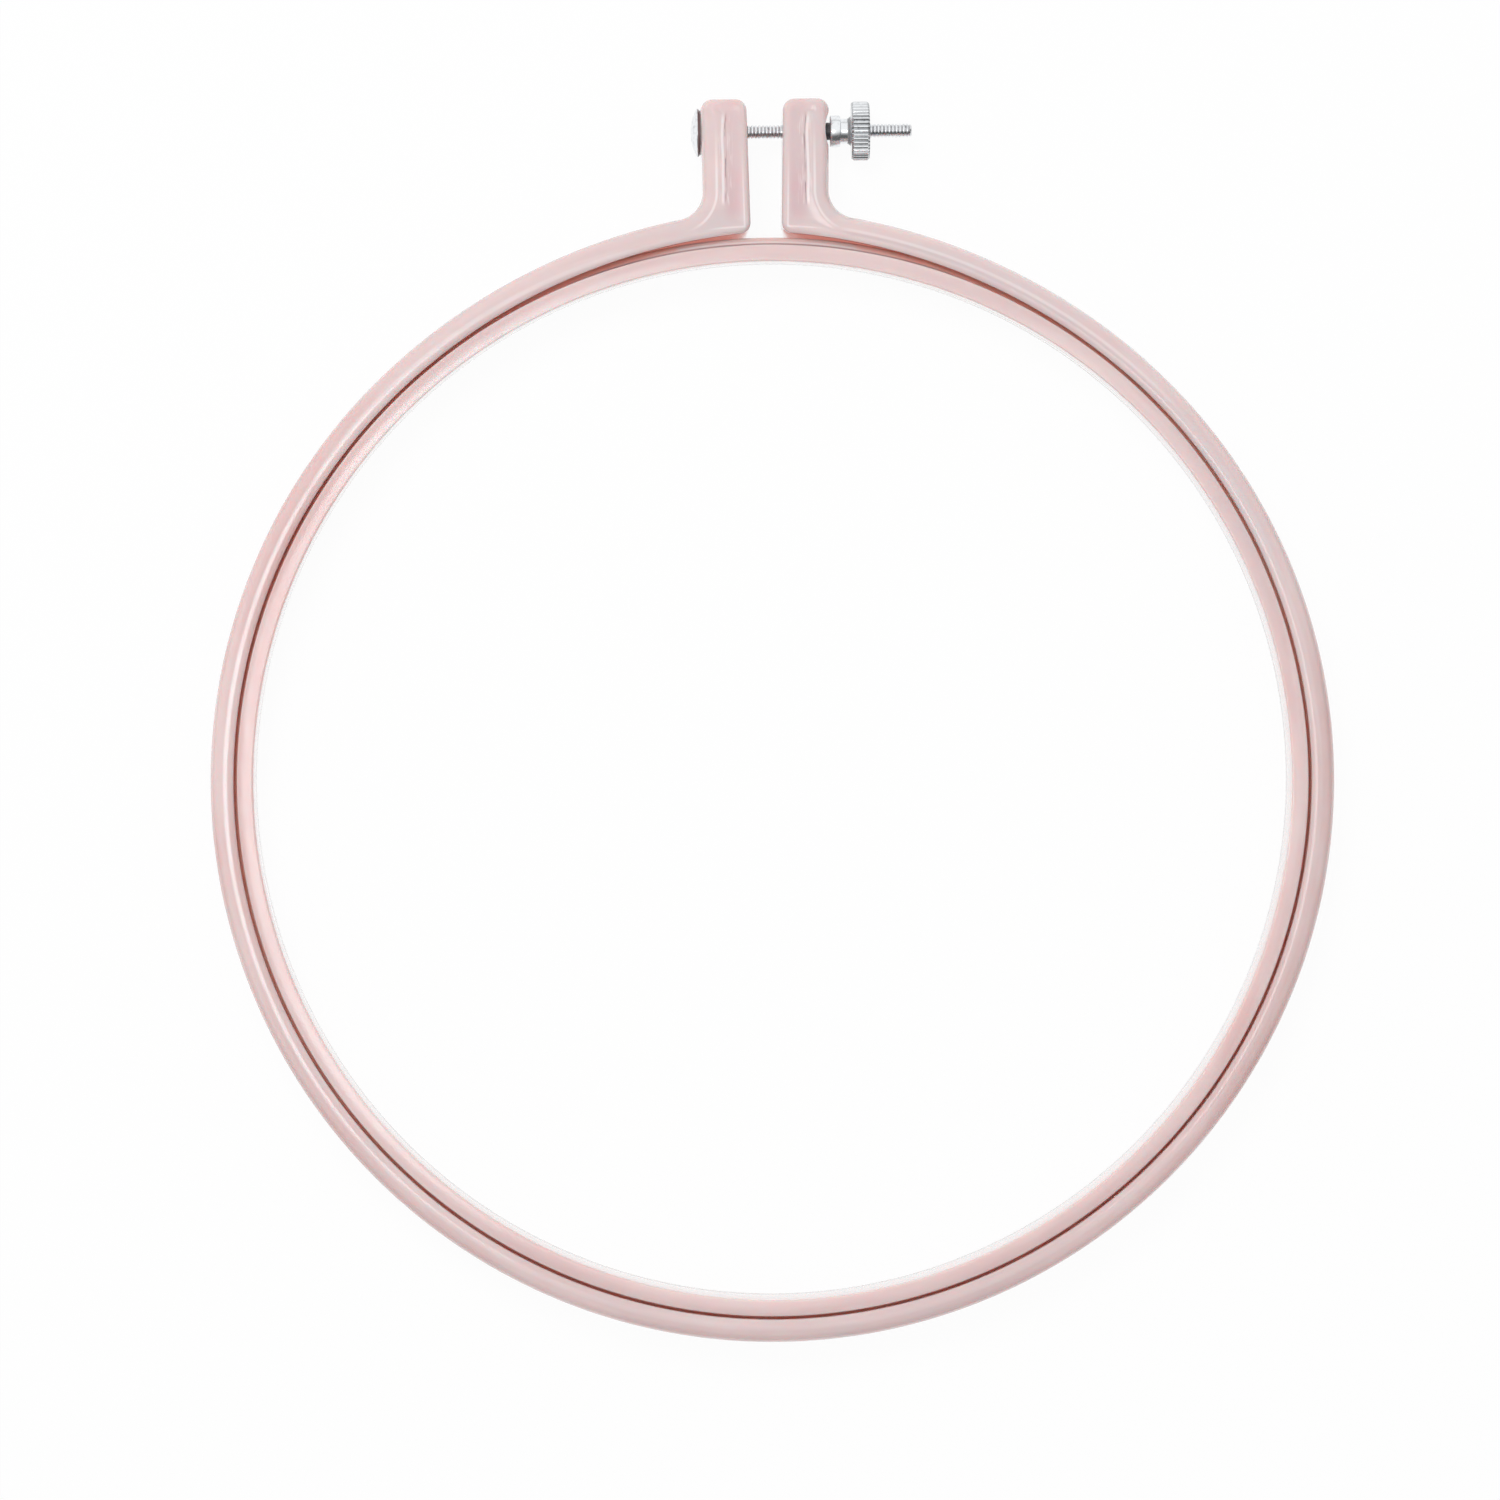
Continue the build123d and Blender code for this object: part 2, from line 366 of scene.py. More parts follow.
def lathe_tree():
    """Geometry nodes that turn a section about Z and cut straight knurls into its rim."""
    inputs = {
        "Section": "Geometry",
        "Path radius": 0.01,
        "Segments": 96,
        "Knurls": 0,
        "Rim radius": 1.0,
        "Knurl depth": 0.0,
        "Material": "Material",
    }
    tree, given, result = new_group("Turned piece", "GeometryNodeTree", inputs, {"Geometry": "Geometry"})
    path_radius = given["Path radius"]
    curve = add_node(tree, "GeometryNodeMeshToCurve", {0: given["Section"]})
    shift = joined(tree, path_radius * -1.0)
    section = add_node(tree, "GeometryNodeTransform", {"Geometry": curve, "Translation": shift})
    circle = {"Resolution": given["Segments"], "Radius": path_radius}
    path = add_node(tree, "GeometryNodeCurvePrimitiveCircle", circle)
    upright = add_node(tree, "GeometryNodeSetCurveNormal", {"Curve": path}, mode="Z_UP")
    swept = add_node(tree, "GeometryNodeCurveToMesh", {"Curve": upright, "Profile Curve": section})

    x, y, z = split(Number(add_node(tree, "GeometryNodeInputPosition").outputs[0]))
    radius = maths("SQRT", x**2.0 + y**2.0)
    turn = maths("ARCTAN2", y, x) / (2 * pi)
    tooth = (maths("PINGPONG", turn * given["Knurls"], 0.5) * KNURL_FLANK).least(1.0)
    limit = given["Rim radius"] - (1.0 - tooth) * given["Knurl depth"]
    share = radius.least(limit) / radius.most(1e-6)
    place = joined(tree, x * share, y * share, z)
    knurled = add_node(tree, "GeometryNodeSetPosition", {"Geometry": swept, "Position": place})
    return painted(tree, knurled, given, result)


def thread_tree():
    """Geometry nodes that wrap a grid into a threaded shaft along Z, closed at both ends."""
    inputs = {
        "Geometry": "Geometry",
        "Crest radius": 0.0015,
        "Pitch": 0.0008,
        "Depth": 0.0003,
        "Start": 0.0,
        "End": 0.02,
        "Chamfer": 0.0004,
        "Sides": 32,
        "Steps per turn": 12,
        "Material": "Material",
    }
    tree, given, result = new_group("Threaded shaft", "GeometryNodeTree", inputs, {"Geometry": "Geometry"})
    start = given["Start"]
    end = given["End"]
    pitch = given["Pitch"]
    steps = given["Steps per turn"]
    turns = (end - start) / pitch + 4.0
    rows = maths("ROUND", turns * steps)
    size = {"Size X": 1.0, "Size Y": 1.0, "Vertices X": given["Sides"] + 1.0, "Vertices Y": rows}
    grid = add_node(tree, "GeometryNodeMeshGrid", size)

    across, up, _ = split(Number(add_node(tree, "GeometryNodeInputPosition").outputs[0]))
    around = across + 0.5
    row = (up + 0.5) * (rows - 1.0)
    climb = row / steps + around
    free = (climb - 2.5) * pitch + start
    along = free.most(start).least(end)
    groove = (1.0 - maths("PINGPONG", climb, 0.5).band(0.03, 0.3)) * given["Depth"]
    crest = given["Crest radius"] - groove
    cone = given["Crest radius"] - given["Chamfer"] + (end - along)
    over = (free - end).most(start - free)
    radius = crest.least(cone) * maths("LESS_THAN", over, pitch)
    turn = around * (2 * pi)
    place = joined(tree, radius * maths("COSINE", turn), radius * maths("SINE", turn), along)
    shaft = add_node(tree, "GeometryNodeSetPosition", {"Geometry": grid, "Position": place})
    return painted(tree, shaft, given, result)


def placed(name, data):
    """A new object in the scene."""
    piece = bpy.data.objects.new(name, data)
    bpy.context.scene.collection.objects.link(piece)
    return piece


def evaluated(piece):
    """Plain mesh of an object after its modifiers."""
    return bpy.data.meshes.new_from_object(piece.evaluated_get(bpy.context.evaluated_depsgraph_get()))


def grown(name, mesh, tree, values):
    """Runs a geometry tree on a mesh with the named inputs and returns the plain mesh that comes out."""
    piece = placed(name, mesh)
    modifier = piece.modifiers.new("Nodes", "NODES")
    modifier.node_group = tree
    for item in tree.interface.items_tree:
        if item.in_out == "INPUT" and item.name in values:
            modifier[item.identifier] = values[item.name]
    made = evaluated(piece)
    bpy.data.objects.remove(piece)
    return made


def rounded(corners, steps=6):
    """Closed section from (x, y, rounding) corners, each rounding as an arc with the given steps."""
    points = []
    for i, (x, y, radius) in enumerate(corners):
        here = Vector((x, y))
        if radius <= 0:
            points.append(here)
            continue
        before = (Vector(corners[i - 1][:2]) - here).normalized()
        after = (Vector(corners[(i + 1) % len(corners)][:2]) - here).normalized()
        half = before.angle(after) / 2
        middle = here + (before + after).normalized() * (radius / sin(half))
        first = here + before * (radius / tan(half)) - middle
        last = here + after * (radius / tan(half)) - middle
        sweep = first.angle_signed(last)
        for k in range(steps + 1):
            points.append(middle + first @ Matrix.Rotation(sweep * k / steps, 2))
    return points


def turned(name, section, path_radius, segments, material, closed=True, **knurl):
    """Mesh turned about Z from (radius, height) points."""
    mesh = bpy.data.meshes.new(name)
    count = len(section)
    joins = [(i, (i + 1) % count) for i in range(count if closed else count - 1)]
    mesh.from_pydata([(r, -h, 0.0) for r, h in section], joins, [])
    values = {"Path radius": path_radius, "Segments": segments, "Material": material, **knurl}
    return grown(name, mesh, lathe_tree(), values)


def finished(name, mesh, matrix=None, crease=radians(38)):
    """Closed object from a mesh, its doubles merged and its shading smooth up to a crease."""
    shape = bmesh.new()
    shape.from_mesh(mesh)
    if matrix:
        shape.transform(matrix)
    bmesh.ops.remove_doubles(shape, verts=shape.verts, dist=TINY)
    bmesh.ops.dissolve_degenerate(shape, edges=shape.edges, dist=TINY)
    bmesh.ops.recalc_face_normals(shape, faces=shape.faces)
    open_edges = sum(1 for edge in shape.edges if not edge.is_manifold)
    if open_edges:
        raise RuntimeError(f"{name} isn't closed: {open_edges} open edges")
    shape.to_mesh(mesh)
    shape.free()
    mesh.shade_smooth()
    mesh.set_sharp_from_angle(angle=crease)
    return placed(name, mesh)


def combined(name, mesh, others, operation):
    """Mesh after a boolean with each of the other meshes in turn."""
    piece = placed(name, mesh)
    tools = []
    for number, other in enumerate(others):
        tool = placed(f"{name} tool {number}", other)
        modifier = piece.modifiers.new(f"Tool {number}", "BOOLEAN")
        modifier.operation = operation
        modifier.solver = "EXACT"
        modifier.object = tool
        tools.append(tool)
    made = evaluated(piece)
    for used in [piece, *tools]:
        bpy.data.objects.remove(used)
    return made


def outward(mesh, merge=0.0):
    """Turns a closed mesh's faces outwards, after merging its doubles within a distance."""
    shape = bmesh.new()
    shape.from_mesh(mesh)
    if merge:
        bmesh.ops.remove_doubles(shape, verts=shape.verts, dist=merge)
    bmesh.ops.recalc_face_normals(shape, faces=shape.faces)
    shape.to_mesh(mesh)
    shape.free()
    return mesh


def prism(name, outline, low, high):
    """Solid mesh between two heights over a plan outline."""
    count = len(outline)
    points = [(p[0], p[1], height) for height in (low, high) for p in outline]
    sides = [((i - 1) % count, i, count + i, count + (i - 1) % count) for i in range(count)]
    mesh = bpy.data.meshes.new(name)
    mesh.from_pydata(points, [], [list(range(count)), list(range(count, 2 * count)), *sides])
    return outward(mesh)


def square(side):
    """Plan of the square neck, or of its pocket, with rounded corners."""
    half = side / 2
    return rounded([(u * half, v * half, NECK_CORNER) for u, v in ((-1, -1), (1, -1), (1, 1), (-1, 1))], 4)


def along_x(axis_y):
    """Matrix that lays a piece turned about Z along X at a height."""
    return Matrix.Translation((0, axis_y, 0)) @ Matrix.Rotation(radians(90), 4, "Y")


def mirrored(points):
    """Plan points on the other side of the split's middle."""
    return [Vector((-p.x, p.y)) for p in points]


def settle(piece, node, body):
    """Puts a finished piece in the place of its CAD node."""
    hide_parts(node)
    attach(piece, body)


def pearl_group():
    """Shader nodes for marbled pearl plastic over a ring round Z, its lugs at +Y, with painted highlights
    and painted shade.
    """
    inputs = {
        "Pale": "Color",
        "Warm": "Color",
        "Cool": "Color",
        "Salmon": "Color",
        "Bloom": "Color",
        "Rosy": "Color",
        "Mauve and sheen share": 1.0,
        "Highlight side": (-1.0, 0.0, 0.0),
        "Highlight spread": 0.3,
        "Highlight start": 0.1211,
        "Highlight end": 0.1219,
        "Highlight edge": 0.0003,
        "Shaded side": (0.978, -0.208, 0.0),
        "Side shade share": 0.0,
        "Cloud turns": 3.0,
        "Cloud width": 0.004,
        "Top height": 0.0068,
        "Crease shadow": (0.3, 0.17, 0.18, 1.0),
        "Pale depth": 0.0,
        "Wedge start": 0.972,
        "Wedge end": 0.992,
        "Gap start": 0.1187,
        "Gap end": 0.1222,
        "Lug start": 0.127,
        "Lug middle": 0.0088,
        "Foot radius": 0.1218,
        "Gap half": 0.0034,
        "Gap lean": 0.0225,
        "Web x": 0.02,
        "Web y": 0.13,
        "Web radius": 0.0062,
        "Flare centre": (0.0, 0.0, 0.0),
        "Flare rim": 0.13,
    }
    outputs = {"Color": "Color", "Shadow share": "Float", "Roughness": "Float", "Height": "Float"}
    tree, given, result = new_group("Pearl marbling with painted light", "ShaderNodeTree", inputs, outputs)
    place = object_place(tree)
    x, y, z = split(place)
    flat = joined(tree, x, y)
    radius = vector_maths("LENGTH", flat)

    # Clouds that follow the rings and run up the lugs
    beyond = (radius - given["Lug start"]).most(0.0)
    across = radius - beyond * 0.85
    scale = given["Cloud turns"] / radius
    width = given["Cloud width"]
    cloud = noise(joined(tree, x * scale, y * scale, across / width), 1.0, 3.0, "4D", W=z / width)
    cloud_mask = cloud.band(0.32, 0.68)
    uneven = (noise(place, 160.0, 2.0) - 0.5) * 0.5
    pink = blended(cloud_mask + uneven, given["Pale"], given["Warm"])

    # Slow drift towards mauve round the hoop: a tone of the plastic, and towards the top a painted whitish
    # reflection
    drift = add_node(tree, "ShaderNodeValToRGB", {0: maths("ARCTAN2", y, x) / (2 * pi) + 0.5})
    drift.color_ramp.interpolation = "EASE"
    stops = [(0.0, 0.1), (0.1, 0.35), (0.25, 0.7), (0.34, 0.5), (0.43, 0.0), (0.5, 0.15)]
    stops += [(0.58, 1.0), (0.7, 1.0), (0.83, 0.9), (0.91, 0.05), (1.0, 0.1)]
    ramp = drift.color_ramp.elements
    while len(ramp) < len(stops):
        ramp.new(0.5)
    for element, (position, shade) in zip(ramp, stops):
        element.position = position
        element.color = (shade, shade, shade, 1.0)
    mauve_and_sheen_share = Number(drift.outputs[0]) * given["Mauve and sheen share"] * (cloud_mask + 0.35)
    drifted_with_sheen = blended(mauve_and_sheen_share, pink, given["Cool"])

    # Painted highlight: a milky line along the ring, strongest towards one side
    outwards = joined(tree, x / radius, y / radius)
    facing = vector_maths("DOT_PRODUCT", outwards, given["Highlight side"])
    near_side = facing.band(1.0 - given["Highlight spread"], 1.0)
    from_start = (radius - given["Highlight start"]) / given["Highlight edge"]
    to_end = (given["Highlight end"] - radius) / given["Highlight edge"]
    on_line = from_start.band(-1.0, 1.0) * to_end.band(-1.0, 1.0)
    highlight_share = (near_side * 0.65 + 0.25) * (uneven * 2.0 + 0.7)
    marbled = blended(on_line * highlight_share, drifted_with_sheen, given["Bloom"])

    # Marks on the lugs: a rosy panel beside the split, stronger towards the foot, broken flow-mark veins and
    # pale streaks along the middle, and a painted highlight glint beside each vein
    reach = abs(x)
    on_lug = beyond.band(0.0, 2.5 * MM)
    on_top = z.band(1 * MM, 3 * MM)
    panel = reach.band(4.7 * MM, 6.3 * MM) * reach.band(10.2 * MM, 7.6 * MM)
    panel = panel * reach.band(15.5 * MM, 14.5 * MM) * on_top
    rosy = panel * (y.band(0.141, 0.130) * 0.5 + 0.3) * y.band(0.1225, 0.127)
    washed = blended(rosy, marbled, given["Rosy"])
    streak = noise(joined(tree, x * 14.0, y), 230.0, 2.0)
    wander = noise(joined(tree, maths("SIGN", x), y * 110.0), 1.0, 1.0)
    aside = reach - given["Lug middle"] + (wander - 0.5) * (1.4 * MM)
    along_lug = y.band(0.127, 0.1285) * y.band(0.1485, 0.146) * on_top
    vein = aside.near(0.0, 0.32 * MM, 0.06 * MM) * streak.band(0.42, 0.6) * along_lug
    # Painted highlight: a pale glint beside each vein
    glint = aside.near(0.6 * MM, 0.45 * MM, 0.12 * MM) * along_lug
    streaks = streak.band(0.5, 0.66) * aside.near(0.0, 2.4 * MM, 0.5 * MM) * along_lug
    streaks_and_highlights = (streaks * 0.4).most(glint * 0.7)

    # Painted highlights: a light line along the rim at the split, and one along the crest round the web
    from_side = reach - given["Gap half"] - (y - given["Foot radius"]) * given["Gap lean"]
    from_edge = from_side.least(radius - given["Foot radius"])
    rim_highlight = from_edge.near(1.35 * MM, 0.3 * MM, 0.08 * MM) * reach.band(14 * MM, 9 * MM)
    rim_highlight = rim_highlight * y.band(0.12, 0.122) * y.band(0.142, 0.128)
    to_web = joined(tree, given["Web x"] - reach, (given["Web y"] - y).most(0.0))
    from_web = vector_maths("LENGTH", to_web) - given["Web radius"]
    crest_highlight = from_web.near(3.1 * MM, 0.45 * MM, 0.08 * MM) * reach.band(21 * MM, 12 * MM)
    crest_highlight = crest_highlight * y.band(0.121, 0.124) * y.band(0.148, 0.132)
    streaks_and_highlights = streaks_and_highlights.most((rim_highlight * 0.45).most(crest_highlight * 0.6) * on_top)

    # Painted light at the right of the lugs: a pale highlight line and a grey shade line along the ring, and
    # its outer rim painted paler there
    inwards = given["Flare rim"] - vector_maths("DISTANCE", flat, given["Flare centre"])
    beside_lug = x.band(14 * MM, 20 * MM) * y.band(0.075, 0.092) * on_top
    highlight_line = inwards.near(2.9 * MM, 0.5 * MM, 0.1 * MM) * 0.35
    lit_rim = inwards.band(1.5 * MM, 0.2 * MM) * 0.3
    streaks_and_highlights = streaks_and_highlights.most(highlight_line.most(lit_rim) * beside_lug)
    shade_line = inwards.near(3.7 * MM, 0.55 * MM, 0.1 * MM) * beside_lug * 0.3
    washed = blended(shade_line, washed, (0.5, 0.42, 0.43, 1.0))
    # The pale streaks and the painted highlights lighten the colour, and the veins darken it
    veined_and_highlit = blended(streaks_and_highlights, washed, (0.94, 0.88, 0.88, 1.0))
    veined_and_highlit = blended(vein * 0.8, veined_and_highlit, (0.36, 0.22, 0.24, 1.0))

    # Painted shade between the rings: salmon on the shelf and inside the lip, and the share of the deeper
    # colour that light takes on there
    depth = given["Top height"] - z
    past_start = radius - given["Gap start"]
    before_end = given["Gap end"] - radius
    in_gap = past_start.band(0.0, 0.1 * MM) * before_end.band(0.0, 0.5 * MM) * depth.band(8 * MM, 5 * MM)
    on_shelf = in_gap * depth.band(0.5 * MM, 1.2 * MM)
    tinted = blended(on_shelf, veined_and_highlit, given["Salmon"])
    toward_split = y / radius
    wedge = toward_split.band(given["Wedge start"], given["Wedge end"])
    past_deep = depth - (wedge * given["Pale depth"] + 0.8 * MM)
    open_shelf = on_shelf * toward_split.band(0.9, 0.96)
    # Painted contact shadow: a dark line at the land's foot on the open shelf
    crease = open_shelf * past_start.band(0.48 * MM, 0.38 * MM)
    tinted = blended(crease * 0.6, tinted, given["Crease shadow"])
    beside_crease = past_start.band(0.45 * MM, 0.55 * MM) * past_start.band(0.95 * MM, 0.8 * MM)
    # Painted highlight: a pale line on the open shelf beside the dark crease line
    tinted = blended(open_shelf * beside_crease * 0.6, tinted, given["Bloom"])
    # Painted shade: darker on one side of the hoop, where less light falls
    side_shade = vector_maths("DOT_PRODUCT", outwards, given["Shaded side"]).band(0.85, 0.99) * given["Side shade share"]

    flow = (streaks * 0.5 - vein * 1.5) * on_lug
    results = {
        "Color": blended(side_shade, tinted, (0.3, 0.25, 0.25, 1.0)),
        "Shadow share": in_gap * past_deep.band(0.0, 0.4 * MM) * (1.0 - crease),
        "Roughness": noise(place, 420.0, 4.0) * 0.12 + 0.1,
        "Height": noise(place, 260.0, 1.0) + flow,
    }
    feed(tree, result, results)
    return tree


def shaded(name, group, values):
    """A material with a group's node: its Principled BSDF and the group's outputs as Numbers."""
    material = bpy.data.materials.new(name)
    material.use_nodes = True
    tree = material.node_tree
    node = add_node(tree, "ShaderNodeGroup", values, node_tree=group)
    return tree, tree.nodes["Principled BSDF"], {socket.name: Number(socket) for socket in node.outputs}


def bumped(tree, height, strength, distance):
    """Bump node over a height."""
    return add_node(tree, "ShaderNodeBump", {"Height": height, "Strength": strength, "Distance": distance})


def pearl_material(name, group, finish, values):
    """Glossy marbled plastic, with a painted red shade where the rings cover each other."""
    labels = ("Pale", "Warm", "Cool", "Salmon", "Bloom", "Rosy")
    colours = {label: (*getattr(finish, label.lower()), 1.0) for label in labels}
    tree, shader, made = shaded(name, group, {"Top height": ring_high.z, **colours, **values})
    # Painted shade: where the rings cover each other the colour turns deep red, standing in for light
    # through the plastic
    slot = made["Shadow share"]
    reach = maths("GREATER_THAN", slot, 0.01) * (4 * MM)
    shadowed = slot * openness(tree, reach, 16).band(0.5, 0.25)
    coating = {
        "Base Color": blended(shadowed, made["Color"], (*finish.shadowed, 1.0)),
        "Roughness": made["Roughness"],
        "Normal": bumped(tree, made["Height"], 0.1, 0.2 * MM),
        "Subsurface Weight": 0.85,
        "Subsurface Radius": (1.0, 0.4, 0.3),
        "Subsurface Scale": 3.0 * MM,
        "IOR": 1.5,
        "Coat Weight": 1.0,
        "Coat Roughness": 0.08,
    }
    feed(tree, shader.inputs, coating)


def nickel_group():
    """Shader nodes for turned and plated metal round an axis along X, darker in its grooves, with painted
    shade in its shadowed corners.
    """
    inputs = {
        "Bright": "Color",
        "Worn": "Color",
        "Tarnish and shade": "Color",
        "Axis height": 0.0,
        "Crest radius": 0.0015,
        "Groove depth": 0.0003,
        "Groove share": 0.3,
        "Shade start": 1.0,
        "Shade end": 1.0,
        "Shade share": 0.9,
        "Crease shadow place": 1.0,
        "Groove scale": 9000.0,
    }
    outputs = {"Color": "Color", "Metal": "Float", "Roughness": "Float", "Height": "Float"}
    tree, given, result = new_group("Turned plating with painted shade", "ShaderNodeTree", inputs, outputs)
    place = object_place(tree)
    x, y, z = split(place)
    radius = maths("SQRT", (y - given["Axis height"]) ** 2.0 + z**2.0)
    grooves = noise(joined(tree, x, radius), given["Groove scale"], 1.0, "2D")
    mask = noise(place, 900.0, 4.0).band(0.48, 0.75)
    bare = blended(mask, given["Bright"], given["Worn"])
    below = (given["Crest radius"] - radius) / given["Groove depth"]
    # Darker in the grooves of the thread and of the knurls
    in_groove = below.band(0.1, 0.7) * below.band(1.6, 1.3) * (x - given["Shade end"]).band(0.0, 0.1 * MM)
    grooved = blended(in_groove * given["Groove share"], bare, given["Tarnish and shade"])
    # Painted shade: a dark, non-metal zone at the head's seat edge, or on the nut's nose
    edge = 0.06 * MM
    painted_dark = (x - given["Shade start"]).band(-edge, edge) * (given["Shade end"] - x).band(-edge, edge)
    # Painted shadow: a dark line in the corner between the nut's waist and its disc
    crease = x.near(given["Crease shadow place"], 0.5 * MM, 0.2 * MM) * 0.7
    painted_dark = (painted_dark * given["Shade share"]).most(crease)
    results = {
        "Color": blended(painted_dark, grooved, given["Tarnish and shade"]),
        "Metal": 1.0 - painted_dark,
        "Roughness": mask * 0.15 + grooves * 0.1 + 0.14,
        "Height": grooves,
    }
    feed(tree, result, results)
    return tree


def nickel_material(name, group, finish, tarnish_and_shade, strength, values):
    """Bright nickel plating over turned metal."""
    given = {"Bright": finish.nickel, "Worn": finish.nickel_worn, "Tarnish and shade": tarnish_and_shade}
    colours = {label: (*value, 1.0) for label, value in given.items()}
    tree, shader, made = shaded(name, group, {**colours, **values})
    coating = {
        "Base Color": made["Color"],
        "Metallic": made["Metal"],
        "Roughness": made["Roughness"],
        "Normal": bumped(tree, made["Height"], strength, 0.02 * MM),
    }
    feed(tree, shader.inputs, coating)


def arc(centre, radius, start, end, spacing):
    """Points along an arc between two angles in degrees, both ends included."""
    steps = max(6, round(radians(abs(end - start)) * radius / spacing))
    turns = [radians(start + (end - start) * i / steps) for i in range(steps + 1)]
    return [centre + Vector((radius * cos(t), radius * sin(t))) for t in turns]


def heading(vector):
    """Direction of a plan vector, from 0 to 360 degrees."""
    return degrees(atan2(vector.y, vector.x)) % 360


class Plan:
    """The outer ring's plan, worked out from its sizes: the right half, which is mirrored for the left."""

    spacing = 0.9 * MM

    def __init__(self, rings, lugs):
        self.rings = rings
        self.lugs = lugs
        self.relief_radius = rings.opening_radius + rings.inner_wall + rings.clearance
        self.lip_radius = self.relief_radius - rings.lip_reach
        self.outer_radius = self.lip_radius + rings.band_width
        self.flare_start = 90 - degrees(rings.flare_angle)
        turn = radians(self.flare_start)
        self.flare_centre = -rings.flare_gain * Vector((cos(turn), sin(turn)))
        self.top = outer_high.y
        foot_x = lugs.foot_gap / 2
        self.foot = Vector((foot_x, self.flare_y(self.lip_radius, foot_x)))
        tip = Vector((lugs.tip_gap / 2, self.top))
        self.gap_along = (tip - self.foot).normalized()
        self.side_foot = Vector((foot_x + lugs.foot_width, self.foot.y))
        side_tip = Vector((lugs.tip_gap / 2 + lugs.tip_width, self.top))
        self.side_along = (side_tip - self.side_foot).normalized()
        self.side_out = Vector((self.side_along.y, -self.side_along.x))
        flare = self.outer_radius + rings.flare_gain
        self.web = self.flare_round(self.side_foot, self.side_along, self.side_out, lugs.web_round, flare)

    def flare_y(self, radius, x):
        """Height at which the flatter arc of a ring edge passes x."""
        centre = self.flare_centre
        return centre.y + sqrt((radius + self.rings.flare_gain) ** 2 - (x - centre.x) ** 2)

    def side_x(self, y):
        """Distance of the lug's outer side from the middle of the split at a height."""
        return (self.side_foot + self.side_along * ((y - self.side_foot.y) / self.side_along.y)).x

    def flare_round(self, base, along, out, radius, flare):
        """Centre of a rounding between a lug's side and the flatter arc of a given radius."""
        start = base + out * radius - self.flare_centre
        middle = start.dot(along)
        run = sqrt(middle**2 - start.length_squared + (flare + radius) ** 2) - middle
        return self.flare_centre + start + along * run

    def tip_round(self, base, along, out):
        """Centre of the rounding between a lug's side and its end."""
        radius = self.lugs.tip_corner
        start = base + out * radius
        return start + along * ((self.top - radius - start.y) / along.y)

    def ring_edge(self, radius, flare_end):
        """True arc of a ring edge, then its flatter arc up to a direction about that arc's centre."""
        true_arc = arc(Vector((0, 0)), radius, -90, self.flare_start, self.spacing)
        flare = radius + self.rings.flare_gain
        return true_arc + arc(self.flare_centre, flare, self.flare_start, flare_end, self.spacing)[1:]

    def outline(self):
        """Right half as (point, rim station): 0 is the ring's outside, 1 the lug's, 2 the gap, 3 the lip."""
        lugs = self.lugs
        side_out = self.side_out
        gap_out = Vector((self.gap_along.y, -self.gap_along.x))
        lip_flare = self.lip_radius + self.rings.flare_gain
        foot = self.flare_round(self.foot, self.gap_along, gap_out, lugs.foot_corner, lip_flare)
        side_tip = self.tip_round(self.side_foot, self.side_along, -side_out)
        gap_tip = self.tip_round(self.foot, self.gap_along, gap_out)

        outside = self.ring_edge(self.outer_radius, self.flare_heading(self.web))
        web_start = (self.flare_heading(self.web) + 180) % 360
        foot_end = (self.flare_heading(foot) + 180) % 360
        web_arc = arc(self.web, lugs.web_round, web_start, heading(-side_out), STEP)
        outer_tip = arc(side_tip, lugs.tip_corner, heading(side_out) - 360, 90, STEP)
        inner_tip = arc(gap_tip, lugs.tip_corner, 90, heading(-gap_out), STEP)
        foot_arc = arc(foot, lugs.foot_corner, heading(-gap_out), foot_end, STEP)
        inside = self.ring_edge(self.lip_radius, self.flare_heading(foot))[::-1]

        gap_side = self.straight(outer_tip[-1], inner_tip[0]) + inner_tip
        gap_side += self.straight(inner_tip[-1], foot_arc[0]) + foot_arc[:-1]
        stations = [(p, 0.0) for p in outside[:-1]]
        stations += [(p, i / len(web_arc)) for i, p in enumerate(web_arc)]
        stations += [(p, 1.0) for p in self.straight(web_arc[-1], side_tip + side_out * lugs.tip_corner)]
        stations += [(p, 1.0 + i / (len(outer_tip) - 1)) for i, p in enumerate(outer_tip)]
        stations += [(p, 2.0) for p in gap_side]
        stations += [(p, min(3.0, 2.0 + i / 8)) for i, p in enumerate(inside)]
        return stations

    def flare_heading(self, point):
        """Direction of a plan point from the flatter arc's centre."""
        return heading(point - self.flare_centre)

    def straight(self, start, end):
        """Points between two ends, neither included."""
        steps = max(2, round((end - start).length / (2 * STEP)))
        return [start.lerp(end, i / steps) for i in range(1, steps)]


def nearest_place(points, line, stations):
    """Distance of each point from an open line, and the rim station at the nearest place on it."""
    start = line[:-1]
    run = line[1:] - start
    distance = np.empty(len(points))
    station = np.empty(len(points))
    for i, point in enumerate(points):
        offset = point - start
        share = np.clip((offset * run).sum(1) / (run * run).sum(1), 0, 1)
        gaps = np.linalg.norm(offset - share[:, None] * run, axis=1)
        best = gaps.argmin()
        distance[i] = gaps[best]
        station[i] = stations[best] + share[best] * (stations[best + 1] - stations[best])
    return distance, station


